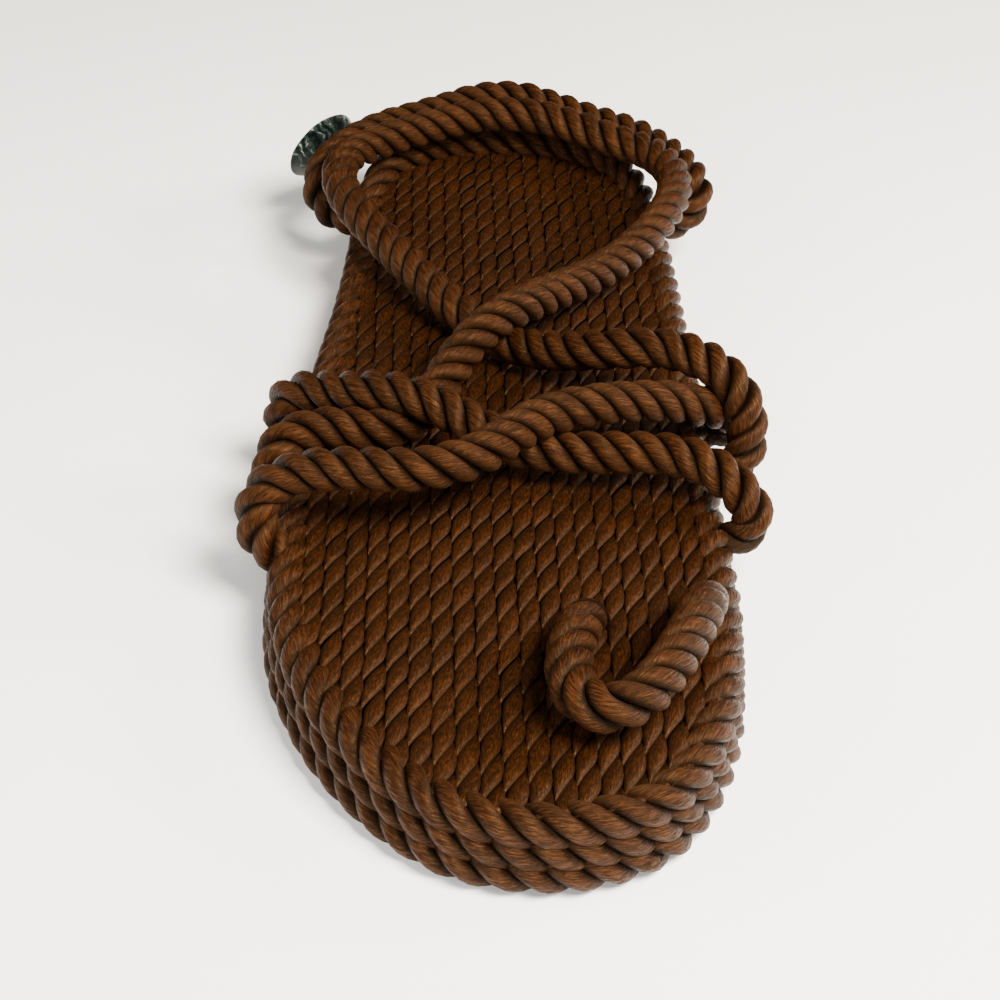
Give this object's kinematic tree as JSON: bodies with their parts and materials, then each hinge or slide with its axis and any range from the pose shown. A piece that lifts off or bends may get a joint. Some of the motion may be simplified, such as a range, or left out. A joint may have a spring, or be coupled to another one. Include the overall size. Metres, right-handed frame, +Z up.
{
  "type": "rope sandal",
  "caption": "Right-foot sandal of brown rope: ribbed rope sole, straps that cross over the foot and pass round the heel, a toe loop and a shell button.",
  "frame": {"origin": "middle of the whole sandal's box, on the floor under the sole", "axes": "+Z up, +Y from the toe to the heel, +X to the medial (big toe) side"},
  "size_m": [0.1104, 0.2528, 0.0373],
  "materials": {
    "woven_mat": "rows of laid synthetic rope, softly glossy",
    "border_rope": "laid synthetic rope, softly glossy",
    "twisted_rope": "three-strand twisted synthetic rope, softly glossy",
    "polished_shell": "polished dark green and grey shell"
  },
  "bodies": {
    "root": {"outsole": "woven_mat", "footbed": "woven_mat", "border_rope_lower": "border_rope", "border_rope_middle": "border_rope", "border_rope_upper": "border_rope", "straps": "twisted_rope", "toe_loop": "twisted_rope", "button": "polished_shell"}
  },
  "joints": []
}
